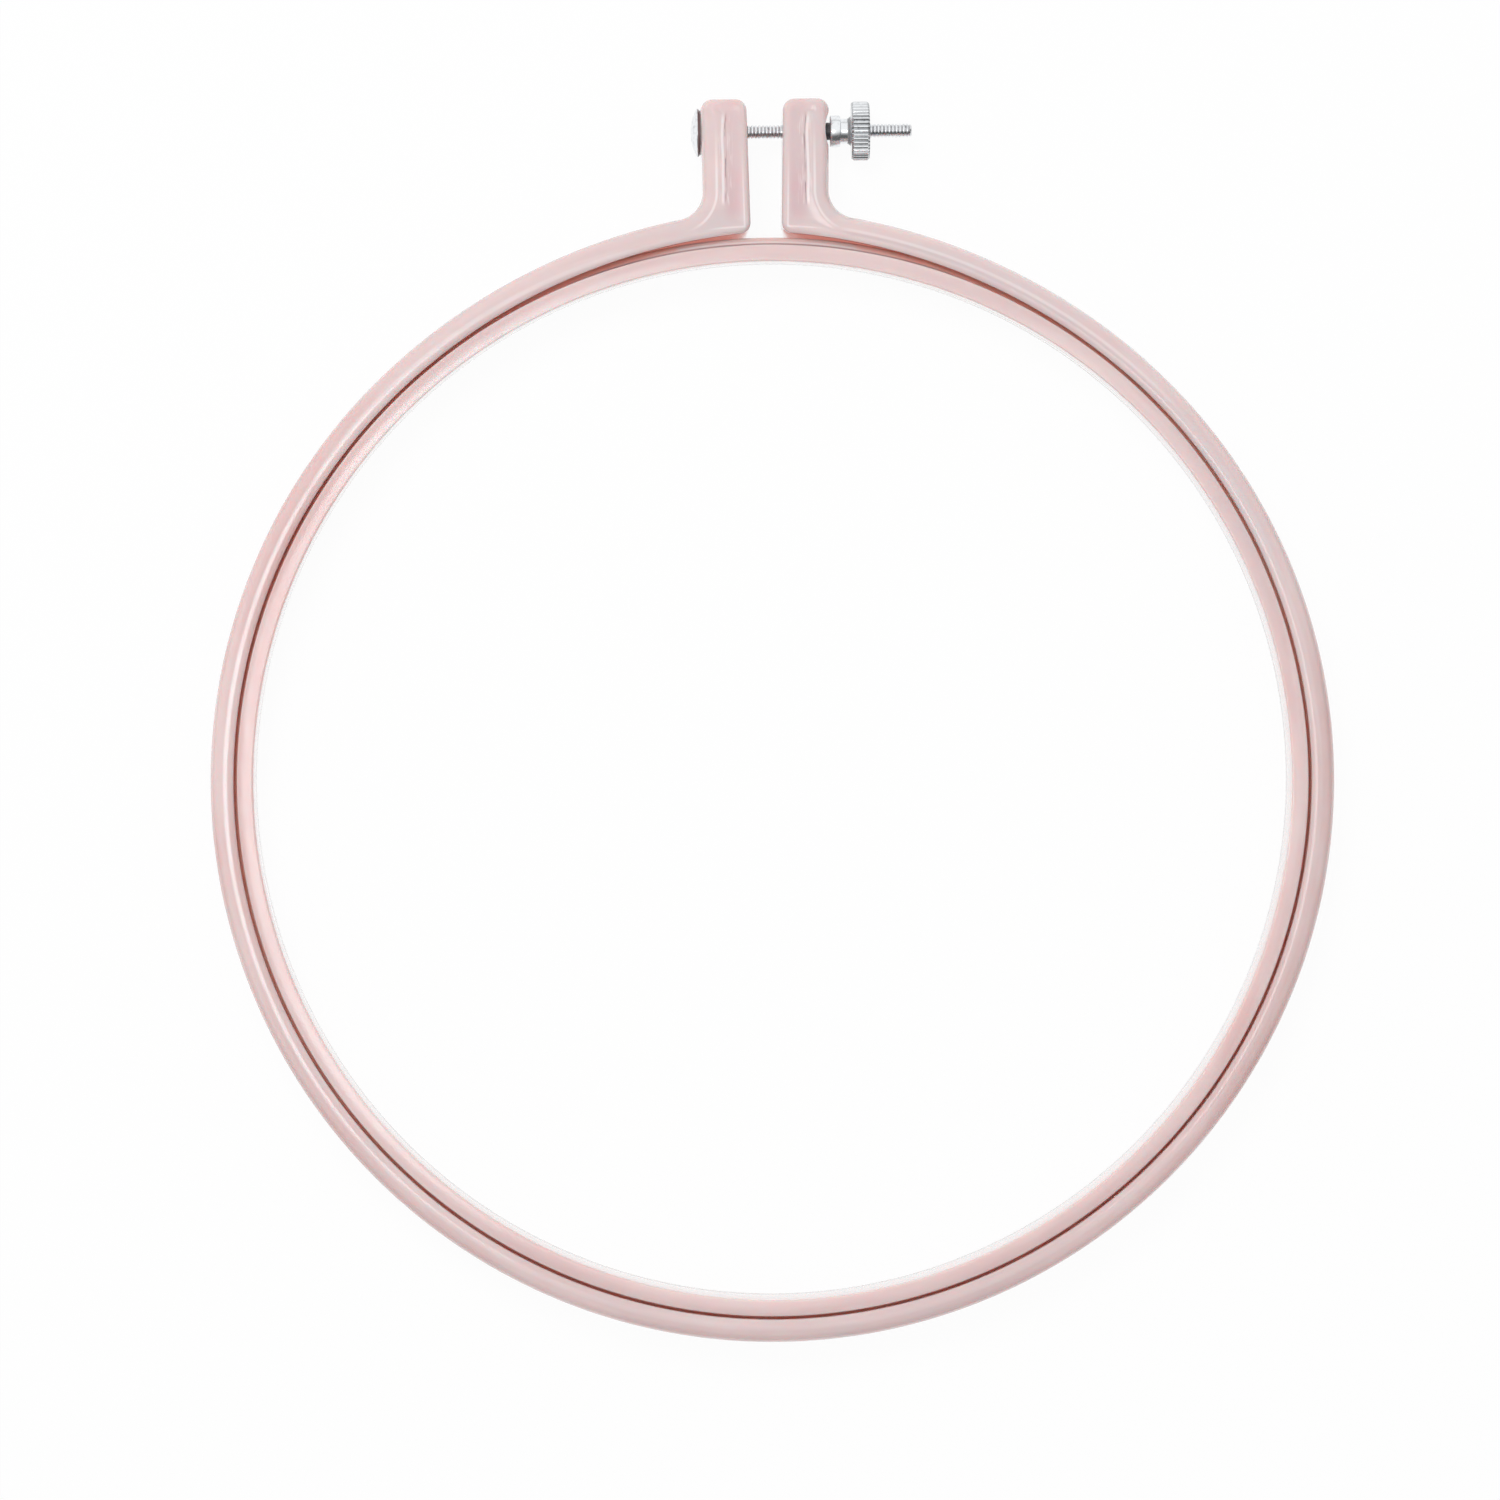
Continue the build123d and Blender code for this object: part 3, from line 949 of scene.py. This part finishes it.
class Rim:
    """The moulded rim's section: a small corner arc that runs into a wide crown arc."""

    def __init__(self, corners, reaches, turns):
        self.corners = corners
        self.reaches = reaches
        self.turns = turns

    def sizes(self, station):
        """Corner radius, crown radius, crest distance and tilt between the two arcs at a rim station."""
        numbers = range(len(self.corners))
        corner = np.interp(station, numbers, self.corners)
        reach = np.interp(station, numbers, self.reaches)
        turn = np.interp(station, numbers, self.turns)
        crown = (reach - corner * (1 - np.sin(turn))) / np.sin(turn)
        return corner, crown, reach, turn

    def height(self, station):
        """Height of the whole rounded rim."""
        corner, crown, _, turn = self.sizes(station)
        return corner * np.cos(turn) + crown * (1 - np.cos(turn))

    def corner_width(self, station):
        """Width of the corner arc in plan."""
        corner, _, _, turn = self.sizes(station)
        return corner * (1 - np.sin(turn))

    def drop(self, distance, station):
        """How far the crown lies below its crest at a distance from the edge."""
        _, crown, reach, turn = self.sizes(station)
        short = np.clip(reach - distance, 0, crown * np.sin(turn))
        return crown - np.sqrt(crown**2 - short**2)


def filled(loop_points, inner_points):
    """Triangles over a closed plan loop, as vertex numbers into loop_points + inner_points."""
    points = [Vector(p) for p in loop_points] + [Vector(p) for p in inner_points]
    count = len(loop_points)
    edges = [(i, (i + 1) % count) for i in range(count)]
    _, _, faces, sources, _, _ = delaunay_2d_cdt(points, edges, [], 1, 0.0001 * MM)
    return [[sources[v][0] for v in face] for face in faces]


def outer_ring_blank(plan, rim):
    """Outer ring before its relief, hole, pocket and seat are cut, as a mesh."""
    half_height = plan.rings.height / 2
    half = plan.outline()
    right = [Vector(p) for p, _ in half]
    stations = [s for _, s in half]
    loop = right + mirrored(right[-2:0:-1])
    loop_stations = np.array(stations + stations[-2:0:-1])
    count = len(loop)
    inwards = []
    for i, here in enumerate(loop):
        run = (here - loop[i - 1]).normalized() + (loop[(i + 1) % count] - here).normalized()
        inwards.append(Vector((-run.y, run.x)).normalized())

    corner, _, _, corner_turn = rim.sizes(loop_stations)
    rim_height = rim.height(loop_stations)
    rings = []
    base_round = plan.rings.base_round
    for turn in (0, 30, 60, 90):
        inset = base_round * (1 - sin(radians(turn)))
        height = -half_height + base_round * (1 - cos(radians(turn)))
        rings.append([(*(p + n * inset), height) for p, n in zip(loop, inwards)])
    for share in (0, 0.18, 0.36, 0.54, 0.77, 1):
        turns = pi / 2 + share * (corner_turn - pi / 2)
        insets = corner * (1 - np.sin(turns))
        heights = half_height - rim_height + corner * np.cos(turns)
        rings.append([(*(p + n * i), h) for p, n, i, h in zip(loop, inwards, insets, heights)])

    top_loop = [Vector(p[:2]) for p in rings[-1]]
    inner, heights = crown_points(plan, rim, right, stations)
    verts = [p for ring in rings for p in ring]
    faces = []
    for k in range(len(rings) - 1):
        low, high = k * count, (k + 1) * count
        for i in range(count):
            j = (i + 1) % count
            faces.append((low + i, low + j, high + j, high + i))
    faces += filled([Vector(p[:2]) for p in rings[0]], [])
    first_inner = len(verts)
    last_loop = (len(rings) - 1) * count
    verts += [(*p, h) for p, h in zip(inner, heights)]
    for face in filled(top_loop, inner):
        faces.append([last_loop + v if v < count else first_inner + v - count for v in face])
    mesh = bpy.data.meshes.new("outer ring blank")
    mesh.from_pydata(verts, [], faces)
    return outward(mesh)


def crown_points(plan, rim, right, stations):
    """Plan points inside the top of the outer ring, both halves, with their heights."""
    rings = plan.rings
    lug_zone = 19 * MM
    grid_step = 0.4 * MM
    points = []
    rows = [1.8, 2.2, 2.6, 3.0, 3.35, 3.7, 4.0, 4.3, 4.6]
    for row in rows:
        radius = plan.outer_radius - row * MM
        for point in plan.ring_edge(radius, 88):
            if point.x > lug_zone or (point.y < 0 and point.x > plan.spacing / 2):
                points.append(point)
    middle = [Vector((0, row * MM - plan.outer_radius)) for row in rows]
    for column in range(1, round(lug_zone / grid_step)):
        for level in range(round((plan.top - 0.9 * plan.outer_radius) / grid_step)):
            points.append(Vector((column * grid_step, plan.top - level * grid_step)))
    points = np.array([tuple(p) for p in points + middle])
    line = np.array([tuple(p) for p in right])
    stations = np.array(stations)
    split = int(np.argmax(stations >= 1.5))
    outer_gap, outer_station = nearest_place(points, line[: split + 1], stations[: split + 1])
    inner_gap, inner_station = nearest_place(points, line[split:], stations[split:])
    outer_reach = rim.sizes(outer_station)[2]
    inner_reach = rim.sizes(inner_station)[2]
    margin = 0.12 * MM
    clear = outer_gap > rim.corner_width(outer_station) + margin
    clear &= inner_gap > rim.corner_width(inner_station) + margin
    clear &= inside_outline(points, line)
    drop = np.maximum(rim.drop(outer_gap, outer_station), rim.drop(inner_gap, inner_station))
    beyond = np.minimum(outer_gap - outer_reach, inner_gap - inner_reach)
    share = np.clip(beyond / (2.3 * MM), 0, 1)
    dish = plan.lugs.dish_depth * share * (2 - share)
    heights = rings.height / 2 - drop - dish
    kept = [(Vector(p), h) for p, h, ok in zip(points, heights, clear) if ok]
    both = kept + [(Vector((-p.x, p.y)), h) for p, h in kept if p.x > 0.01 * MM]
    return [p for p, _ in both], [h for _, h in both]


def inside_outline(points, line):
    """Which points lie inside the right half's outline, closed along the middle."""
    inside = np.zeros(len(points), bool)
    x, y = points[:, 0] + 1e-9, points[:, 1]
    for a, b in zip(line, np.roll(line, -1, axis=0)):
        if a[1] == b[1]:
            continue
        crosses = (a[1] > y) != (b[1] > y)
        reach = a[0] + (y - a[1]) / (b[1] - a[1]) * (b[0] - a[0])
        inside ^= crosses & (x < reach)
    return inside


class HOOP_OT_inner_ring(bpy.types.Operator):
    """Turn the inner ring with its land and shelf"""

    bl_idname = "hoop.inner_ring"
    bl_label = "Inner Ring"

    def execute(self, context):
        sizes = context.scene.hoop_rings
        low, high = -sizes.height / 2, sizes.height / 2
        bore = sizes.opening_radius
        wall = bore + sizes.inner_wall
        land = bore + sizes.land_width
        shelf = high - sizes.shelf_drop
        corners = [
            (bore, low, sizes.inner_round),
            (wall, low, sizes.inner_round),
            (wall, shelf - sizes.shelf_fall, sizes.land_round),
            (land, shelf, 0.3 * MM),
            (land, high - sizes.land_fall, sizes.land_round),
            (land - 2 * MM, high, 20 * MM),
            (bore, high, sizes.inner_round),
        ]
        material = bpy.data.materials["inner ring pearl"]
        piece = finished("inner_ring_moulding", turned("inner ring", rounded(corners), bore, 384, material))
        settle(piece, "inner_ring", "inner_frame")
        return {"FINISHED"}


class HOOP_OT_outer_ring(bpy.types.Operator):
    """Mould the split outer ring with its lip, its rounded rims and its two lugs"""

    bl_idname = "hoop.outer_ring"
    bl_label = "Outer Ring"

    def execute(self, context):
        rings = context.scene.hoop_rings
        lugs = context.scene.hoop_lugs
        clamp = context.scene.hoop_clamp
        plan = Plan(rings, lugs)
        rim = Rim(
            [lugs.outer_corner, lugs.side_corner, lugs.gap_corner, lugs.lip_corner],
            [lugs.outer_reach, lugs.side_reach, lugs.gap_reach, lugs.lip_crest],
            [lugs.wide_turn, lugs.wide_turn, lugs.tight_turn, lugs.tight_turn],
        )
        blank = outer_ring_blank(plan, rim)
        half_height = rings.height / 2
        lip_underside = half_height - rings.shelf_drop + rings.clearance
        over = 1 * MM

        foot_x = lugs.foot_gap / 2
        relief_foot = Vector((foot_x, plan.flare_y(plan.relief_radius, foot_x)))
        relief = plan.ring_edge(plan.relief_radius, plan.flare_heading(relief_foot))
        relief += mirrored(relief[:0:-1])
        relief_tool = prism("relief", relief, -half_height - over, lip_underside)

        side = plan.side_x(screw_y)
        end = side + over
        hole = [(0.0, -end), (lugs.hole_radius, -end), (lugs.hole_radius, end), (0.0, end)]
        hole_tool = turned("hole", hole, 3 * MM, 48, None, closed=False)
        hole_tool.transform(along_x(screw_y))

        pocket_end = screw_low.x + clamp.head_rim + clamp.head_crown + lugs.pocket_depth
        pocket_tool = prism("pocket", square(lugs.pocket_side), -side - 3 * over, pocket_end)
        pocket_tool.transform(along_x(screw_y))

        seat_radius = (lugs.seat_width**2 / 4 + lugs.seat_depth**2) / (2 * lugs.seat_depth)
        seat_centre = Vector((side - lugs.seat_depth + seat_radius, screw_y))
        seat = arc(seat_centre, seat_radius, 120, 240, STEP)
        seat_tool = prism("seat", seat, -half_height - over, half_height + over)

        tools = [relief_tool, hole_tool, pocket_tool, seat_tool]
        mesh = combined("outer ring", blank, tools, "DIFFERENCE")
        piece = finished("outer_ring_moulding", mesh)
        mesh.materials.clear()
        mesh.materials.append(bpy.data.materials["outer ring pearl"])
        settle(piece, "outer_ring", "outer_frame")
        return {"FINISHED"}


class HOOP_OT_clamp_screw(bpy.types.Operator):
    """Make the clamp screw with its domed head, its square neck and its rolled thread"""

    bl_idname = "hoop.clamp_screw"
    bl_label = "Clamp Screw"

    def execute(self, context):
        sizes = context.scene.hoop_clamp
        seat = screw_low.x + sizes.head_crown + sizes.head_rim
        rim_top = seat - sizes.head_rim
        rim = sizes.head_radius
        chamfer = sizes.head_chamfer
        dome_radius = (rim**2 + sizes.head_crown**2) / (2 * sizes.head_crown)
        dome_centre = screw_low.x + dome_radius
        sweep = atan2(rim, dome_centre - rim_top)
        turns = [sweep * k / 13 for k in range(1, 13)]
        edge = 0.12 * MM
        section = [
            (0.0, screw_low.x),
            *[(dome_radius * sin(turn), dome_centre - dome_radius * cos(turn)) for turn in turns],
            (rim - 0.4 * edge, rim_top - 0.1 * edge),
            (rim, rim_top + 0.5 * edge),
            (rim, seat - chamfer),
            (rim - 0.35 * chamfer, seat - 0.42 * chamfer),
            (rim - chamfer, seat),
            (rim - chamfer, seat + sizes.head_seat),
            (0.0, seat + sizes.head_seat),
        ]
        material = bpy.data.materials["screw nickel"]
        head = turned("head", section, 3 * MM, 96, material, closed=False)
        neck = prism("neck", square(sizes.neck_side), seat - 0.2 * MM, seat + sizes.neck_length)
        values = {
            "Crest radius": sizes.screw_radius,
            "Pitch": sizes.pitch,
            "Depth": sizes.thread_depth,
            "Start": seat + 0.5 * sizes.neck_length,
            "End": screw_high.x,
            "Chamfer": sizes.tip_chamfer,
            "Material": material,
        }
        shaft = grown("shaft", bpy.data.meshes.new("shaft"), thread_tree(), values)
        outward(head, TINY)
        outward(shaft, TINY)
        mesh = combined("screw", head, [neck, shaft], "UNION")
        piece = finished("clamp_screw_threaded", mesh, along_x(screw_y))
        mesh.materials.clear()
        mesh.materials.append(material)
        settle(piece, "clamp_screw", "screw")
        return {"FINISHED"}


class HOOP_OT_knurled_nut(bpy.types.Operator):
    """Turn the nut and cut its knurls"""

    bl_idname = "hoop.knurled_nut"
    bl_label = "Knurled Nut"

    def execute(self, context):
        sizes = context.scene.hoop_clamp
        nose = nut_low.x
        collar = nose + sizes.nose_length
        waist = collar + sizes.collar_length
        disc = waist + sizes.waist_length
        face = disc + sizes.disc_length
        bore = sizes.bore_radius
        rim = sizes.disc_radius
        root = rim - sizes.knurl_depth
        chamfer = sizes.disc_chamfer
        edge = 0.25 * MM
        bevel = 0.1 * MM
        softened = 0.07 * MM
        crown = 0.12 * MM
        mouth = 0.35 * MM
        stem = sizes.nose_radius
        drum = sizes.collar_radius
        neck = sizes.waist_radius
        cone = waist + sizes.waist_groove
        shares = [k / 5 for k in range(6)]
        section = [
            (bore + edge, nose),
            (stem - bevel, nose),
            (stem, nose + bevel),
            (stem, collar),
            (drum - edge, collar),
            (drum - softened, collar + softened),
            (drum, collar + edge),
            (drum, waist - edge),
            (drum - softened, waist - softened),
            (drum - edge, waist),
            (neck + bevel, waist),
            (neck, waist + bevel),
            *[(neck + (drum - neck) * share**1.6, cone + (disc - cone) * share) for share in shares],
            (root - chamfer, disc),
            (rim - chamfer, disc),
            (rim - crown, disc + chamfer - crown),
            (rim, disc + chamfer),
            (rim, disc + 0.5 * sizes.disc_length),
            (rim, face - chamfer),
            (rim - crown, face - chamfer + crown),
            (rim - chamfer, face),
            (root - chamfer, face),
            (root - 3 * chamfer, face),
            (bore + mouth, face),
            (bore, face - mouth),
            (bore, nose + edge),
        ]
        knurl = {"Knurls": sizes.knurls, "Rim radius": rim, "Knurl depth": sizes.knurl_depth}
        mesh = turned("nut", section, 3 * MM, sizes.knurls * 8, bpy.data.materials["nut nickel"], **knurl)
        laid = along_x((nut_low.y + nut_high.y) / 2)
        piece = finished("knurled_nut_turned", mesh, laid, crease=radians(30))
        settle(piece, "knurled_nut", "nut")
        return {"FINISHED"}


class HOOP_OT_finishes(bpy.types.Operator):
    """Make the plastic and plating materials"""

    bl_idname = "hoop.finishes"
    bl_label = "Finishes"

    def execute(self, context):
        finish = context.scene.hoop_finish
        lugs = context.scene.hoop_lugs
        plan = Plan(context.scene.hoop_rings, lugs)
        pearl = pearl_group()
        bore = opening["dims"]["r_mm"] * MM
        inner = {
            "Mauve and sheen share": 0.5,
            "Pale depth": 2.4 * MM,
            "Highlight side": (-0.57, 0.82, 0.0),
            "Highlight spread": 0.08,
            "Highlight start": bore - 1 * MM,
            "Highlight end": bore + 1.9 * MM,
            "Highlight edge": 1.0 * MM,
        }
        outer = {
            "Side shade share": 0.12,
            "Highlight side": (-0.98, 0.17, 0.0),
            "Highlight spread": 0.8,
            "Highlight start": outer_rim - 3.8 * MM,
            "Highlight end": outer_rim - 2.85 * MM,
            "Highlight edge": 0.3 * MM,
            "Web x": plan.web.x,
            "Web y": plan.web.y,
            "Web radius": lugs.web_round,
            "Flare centre": (*plan.flare_centre, 0.0),
            "Flare rim": plan.outer_radius + context.scene.hoop_rings.flare_gain,
            "Foot radius": plan.foot.length,
            "Gap half": lugs.foot_gap / 2,
            "Gap lean": plan.gap_along.x,
        }
        pearl_material("inner ring pearl", pearl, finish, inner)
        pearl_material("outer ring pearl", pearl, finish, outer)
        nickel = nickel_group()
        clamp = context.scene.hoop_clamp
        seat = screw_low.x + clamp.head_crown + clamp.head_rim
        thread = {
            "Axis height": screw_y,
            "Crest radius": clamp.screw_radius,
            "Groove depth": clamp.thread_depth,
            "Groove share": 0.25,
            # Painted brown shade on the head's seat edge
            "Shade start": seat - clamp.head_chamfer,
            "Shade end": seat + clamp.head_seat,
        }
        knurl = {
            "Axis height": screw_y,
            "Crest radius": clamp.disc_radius,
            "Groove depth": clamp.knurl_depth,
            "Groove share": 0.4,
            # Painted dark shade on the nose
            "Shade start": nut_low.x,
            "Shade end": nut_low.x + clamp.nose_length,
            "Shade share": 0.95,
            # Place of the painted shadow line before the disc
            "Crease shadow place": nut_high.x - clamp.disc_length - 0.5 * MM,
        }
        nickel_material("screw nickel", nickel, finish, finish.tarnish_and_shade, 0.06, thread)
        nickel_material("nut nickel", nickel, finish, finish.shade, 0.12, knurl)
        return {"FINISHED"}


class HOOP_OT_studio(bpy.types.Operator):
    """Set up the camera, the lamps, the pale floor and the white surroundings"""

    bl_idname = "hoop.studio"
    bl_label = "Studio"

    def execute(self, context):
        sizes = context.scene.hoop_studio
        context.scene.view_settings.view_transform = "Standard"
        self.camera(context.scene, sizes)
        # The overhead lamp gives the sheen, and the key at the left shows in no reflection
        self.lamp("overhead", (-0.3, -0.06, 2.0), 1.9)
        self.lamp("key", (-0.3, 0.6, 1.1), 6.0).visible_glossy = False
        self.floor(sizes)
        self.world(context.scene)
        return {"FINISHED"}

    def camera(self, scene, sizes):
        """A long lens straight above, a little to the upper left of the hoop."""
        data = bpy.data.cameras.new("camera")
        place = Vector(sizes.camera_place)
        aim = Vector(sizes.camera_aim)
        back = (place - aim).normalized()
        up = Vector((sin(sizes.camera_roll), cos(sizes.camera_roll), 0))
        right = up.cross(back).normalized()
        up = back.cross(right)
        data.sensor_width = 36
        data.lens = data.sensor_width * (place - aim).length / sizes.frame_width
        data.clip_start = 0.01
        data.clip_end = 100
        turn = Matrix((right, up, back)).transposed().to_4x4()
        scene.camera = placed("camera", data)
        scene.camera.matrix_world = Matrix.Translation(place) @ turn

    def lamp(self, name, place, power):
        """A round lamp that faces the hoop."""
        data = bpy.data.lights.new(name, "AREA")
        data.shape = "DISK"
        data.size = 0.6
        data.energy = power
        lamp = placed(name, data)
        lamp.location = place
        lamp.rotation_euler = Vector(place).to_track_quat("Z", "Y").to_euler()
        return lamp

    def floor(self, sizes):
        """A pale floor that looks white and keeps a faint shadow, its glow painted red in the narrow slots
        under the rings.
        """
        half = sizes.floor_size / 2
        level = ring_low.z - 0.05 * MM
        mesh = bpy.data.meshes.new("floor")
        corners = [(-half, -half, level), (half, -half, level), (half, half, level), (-half, half, level)]
        mesh.from_pydata(corners, [], [(0, 1, 2, 3)])
        material = bpy.data.materials.new("pale floor")
        material.use_nodes = True
        tree = material.node_tree
        tree.nodes.clear()
        camera_ray, glossy_ray, transmission_ray = ray_kinds(tree)
        radius = vector_maths("LENGTH", object_place(tree))
        at_slot = maths("COMPARE", radius, 121.5 * MM, 3.5 * MM)
        free = openness(tree, at_slot * (14 * MM), 64).band(0.1, 0.18)
        # Painted light: the floor's glow turns red in the narrow slots, where light comes through the
        # plastic
        slot_glow = blended(free, (0.55, 0.19, 0.155, 1.0), WHITE)
        share = camera_ray.most(glossy_ray).most(transmission_ray) * 0.95
        matt = add_node(tree, "ShaderNodeBsdfDiffuse", {"Color": (0.9, 0.9, 0.9, 1.0)})
        glow = add_node(tree, "ShaderNodeEmission", {"Color": slot_glow, "Strength": 1.0})
        mix = add_node(tree, "ShaderNodeMixShader", {0: share, 1: matt, 2: glow})
        add_node(tree, "ShaderNodeOutputMaterial", {"Surface": mix})
        mesh.materials.append(material)
        placed("floor", mesh)

    def world(self, scene):
        """White for the camera, a plain grey light for surfaces and a bright zenith in reflections."""
        world = bpy.data.worlds.new("white surroundings")
        scene.world = world
        world.use_nodes = True
        tree = world.node_tree
        tree.nodes.clear()
        ambient = 0.62
        camera_ray, glossy_ray, transmission_ray = ray_kinds(tree)
        direction = Number(add_node(tree, "ShaderNodeTexCoord").outputs["Generated"])
        facing = vector_maths("DOT_PRODUCT", direction, (-0.15, 0.68, 0.72))
        above = split(direction)[2].band(0.0, 0.35) * 0.38 + ambient
        sky = facing.band(0.05, 0.7, 0.12, 1.0) * above
        lit = glossy_ray * (sky - ambient) + ambient
        strength = camera_ray.most(transmission_ray).most(lit)
        background = add_node(tree, "ShaderNodeBackground", {"Color": WHITE, "Strength": strength})
        add_node(tree, "ShaderNodeOutputWorld", {"Surface": background})


class HOOP_PT_sidebar(bpy.types.Panel):
    """Lists the hoop's operators"""

    bl_idname = "HOOP_PT_sidebar"
    bl_label = "Embroidery Hoop"
    bl_space_type = "VIEW_3D"
    bl_region_type = "UI"
    bl_category = "Hoop"

    def draw(self, context):
        for operator in OPERATORS:
            self.layout.operator(operator.bl_idname)


SETTINGS = {
    "hoop_rings": HoopRingSizes,
    "hoop_lugs": HoopLugSizes,
    "hoop_clamp": HoopClampSizes,
    "hoop_finish": HoopFinish,
    "hoop_studio": HoopStudio,
}
OPERATORS = (
    HOOP_OT_studio,
    HOOP_OT_finishes,
    HOOP_OT_inner_ring,
    HOOP_OT_outer_ring,
    HOOP_OT_clamp_screw,
    HOOP_OT_knurled_nut,
)


def register():
    """Registers the settings, the operators and the panel."""
    for cls in (*SETTINGS.values(), *OPERATORS, HOOP_PT_sidebar):
        bpy.utils.register_class(cls)
    for name, cls in SETTINGS.items():
        setattr(bpy.types.Scene, name, bpy.props.PointerProperty(type=cls))


def unregister():
    """Undoes what register does."""
    for name in SETTINGS:
        delattr(bpy.types.Scene, name)
    for cls in reversed((*SETTINGS.values(), *OPERATORS, HOOP_PT_sidebar)):
        bpy.utils.unregister_class(cls)


def main():
    """Makes the studio, the finishes and the four pieces."""
    register()
    bpy.ops.hoop.studio()
    bpy.ops.hoop.finishes()
    bpy.ops.hoop.inner_ring()
    bpy.ops.hoop.outer_ring()
    bpy.ops.hoop.clamp_screw()
    bpy.ops.hoop.knurled_nut()


if __name__ == "__main__":
    main()
